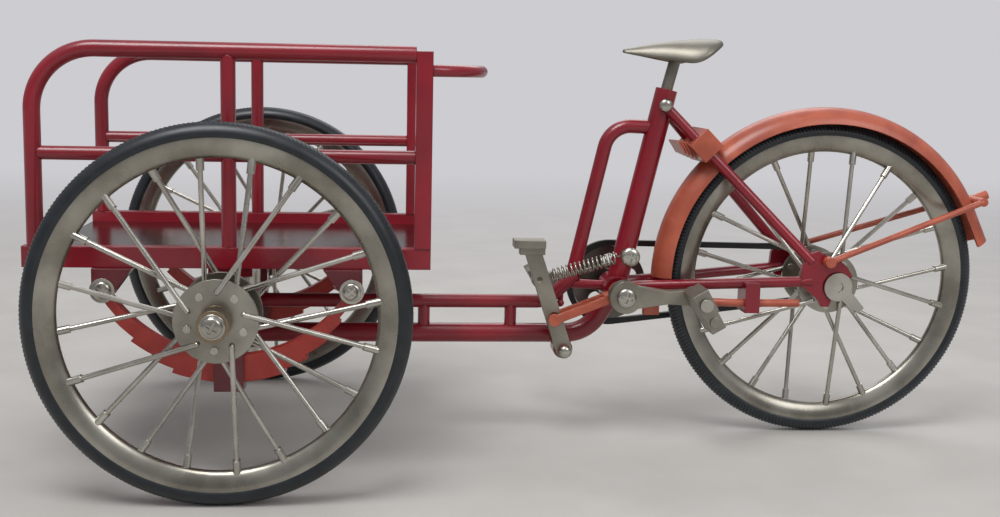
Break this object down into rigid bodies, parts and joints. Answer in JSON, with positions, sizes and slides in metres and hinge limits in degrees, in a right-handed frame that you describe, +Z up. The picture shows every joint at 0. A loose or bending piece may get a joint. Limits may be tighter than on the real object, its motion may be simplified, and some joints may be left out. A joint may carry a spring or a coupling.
{
  "type": "cargo tricycle model",
  "caption": "Scale-model cargo tricycle: steered front axle under an open tubular cargo cage, chain-driven rear wheel, sliding saddle and foot brake lever.",
  "frame": {"origin": "on the ground, midway between the front of the cargo cage and the tail of the mudguard, on the centre plane", "axes": "-X towards the front of the tricycle, -Y its left side, +Z up"},
  "size_m": [0.193, 0.113, 0.0828],
  "materials": {
    "crimson_enamel": "gloss enamel over die-cast metal",
    "orange_plastic": "translucent moulded plastic",
    "spring_plastic": "translucent moulded plastic",
    "dark_red": "gloss enamel",
    "nickel": "brushed nickel plate",
    "rim_nickel": "satin nickel plate",
    "screw_steel": "bright zinc plate",
    "lever_metal": "dull die-cast metal",
    "floor_metal": "polished grey metal",
    "tyre": "smooth moulded rubber",
    "chain_rubber": "black rubber drive loop",
    "dark_ring": "dark grey metal"
  },
  "bodies": {
    "rear_frame": {"axle_nuts": "screw_steel", "bottom_bracket_shell": "crimson_enamel", "brake_pivot_lug": "crimson_enamel", "brake_rod_guide": "dark_red", "brake_spring": "screw_steel", "chain_stays": "crimson_enamel", "drive_chain": "chain_rubber", "dropouts": "dark_red", "frame_struts": "crimson_enamel", "head_tube": "crimson_enamel", "hoop_tube": "crimson_enamel", "lower_tube": "crimson_enamel", "mudguard": "orange_plastic", "mudguard_clip": "orange_plastic", "mudguard_stay": "orange_plastic", "rear_axle": "screw_steel", "seat_pin": "screw_steel", "seat_stays": "crimson_enamel", "seat_tube": "crimson_enamel", "spring_screw": "screw_steel", "upper_tube": "crimson_enamel"},
    "front_carriage": {"side_hoops": "crimson_enamel", "centre_posts": "crimson_enamel", "middle_rails": "crimson_enamel", "rear_posts": "crimson_enamel", "base_frame": "crimson_enamel", "floor_plate": "floor_metal", "handlebar": "crimson_enamel", "kingpin": "nickel", "front_axle": "nickel", "front_axle_screws": "screw_steel", "leaf_spring_left": "spring_plastic", "leaf_spring_right": "spring_plastic", "spring_brackets": "dark_red", "spring_bolts": "screw_steel", "axle_hangers": "dark_red"},
    "left_front_wheel": {"front_tyre_left": "tyre", "front_rim_left": "rim_nickel", "front_spokes_left": "nickel", "front_hub_left": "nickel"},
    "right_front_wheel": {"front_tyre_right": "tyre", "front_rim_right": "rim_nickel", "front_spokes_right": "nickel", "front_hub_right": "nickel"},
    "rear_wheel": {"rear_tyre": "tyre", "rear_rim": "rim_nickel", "rear_spokes": "nickel", "rear_hub": "nickel", "rear_sprocket": "dark_ring"},
    "crankset": {"chainring": "dark_ring", "crank_spindle": "nickel", "crank_arms": "lever_metal", "crank_screws": "screw_steel", "pedal_pins": "screw_steel"},
    "left_pedal": {"pedal_left": "lever_metal"},
    "right_pedal": {"pedal_right": "lever_metal"},
    "saddle": {"saddle_post": "nickel", "saddle": "nickel"},
    "brake_lever": {"brake_lever": "lever_metal"},
    "brake_rod": {"brake_rod": "orange_plastic"}
  },
  "joints": [
    {"name": "steering", "type": "hinge", "parent": "rear_frame", "child": "front_carriage", "pos_m": [-0.05993, 0, 0.025], "axis": [0, 0, 1], "range_deg": [-35, 35]},
    {"name": "left_front_wheel_spin", "type": "hinge", "parent": "front_carriage", "child": "left_front_wheel", "pos_m": [-0.05993, -0.046, 0.033], "axis": [0, 1, 0], "continuous": true},
    {"name": "right_front_wheel_spin", "type": "hinge", "parent": "front_carriage", "child": "right_front_wheel", "pos_m": [-0.05993, 0.046, 0.033], "axis": [0, 1, 0], "continuous": true},
    {"name": "rear_wheel_spin", "type": "hinge", "parent": "rear_frame", "child": "rear_wheel", "pos_m": [0.06067, 0, 0.033], "axis": [0, 1, 0], "continuous": true},
    {"name": "crank_spin", "type": "hinge", "parent": "rear_frame", "child": "crankset", "pos_m": [0.01687, 0, 0.0307], "axis": [0, 1, 0], "continuous": true},
    {"name": "left_pedal_spin", "type": "hinge", "parent": "crankset", "child": "left_pedal", "pos_m": [0.03107, -0.016, 0.0307], "axis": [0, 1, 0], "continuous": true},
    {"name": "right_pedal_spin", "type": "hinge", "parent": "crankset", "child": "right_pedal", "pos_m": [0.00267, 0.016, 0.0307], "axis": [0, 1, 0], "continuous": true},
    {"name": "saddle_height", "type": "slide", "parent": "rear_frame", "child": "saddle", "axis": [0.2197, 0, 0.9756], "range_m": [-0.003, 0.008]},
    {"name": "brake_lever_tilt", "type": "hinge", "parent": "rear_frame", "child": "brake_lever", "pos_m": [0.00527, -0.007, 0.0189], "axis": [0, -1, 0], "range_deg": [0, 12], "stiffness_Nm_per_rad": 0.004, "springref_deg": -17.19, "deforming": ["brake_spring"]},
    {"name": "brake_rod_pull", "type": "slide", "parent": "rear_frame", "child": "brake_rod", "axis": [-1, 0, 0], "range_m": [0, 0.00136]}
  ],
  "couplings": [
    {"joint": "crank_spin", "follows": "rear_wheel_spin", "ratio": 0.66279},
    {"joint": "brake_rod_pull", "follows": "brake_lever_tilt", "m_per_rad": 0.0064}
  ]
}
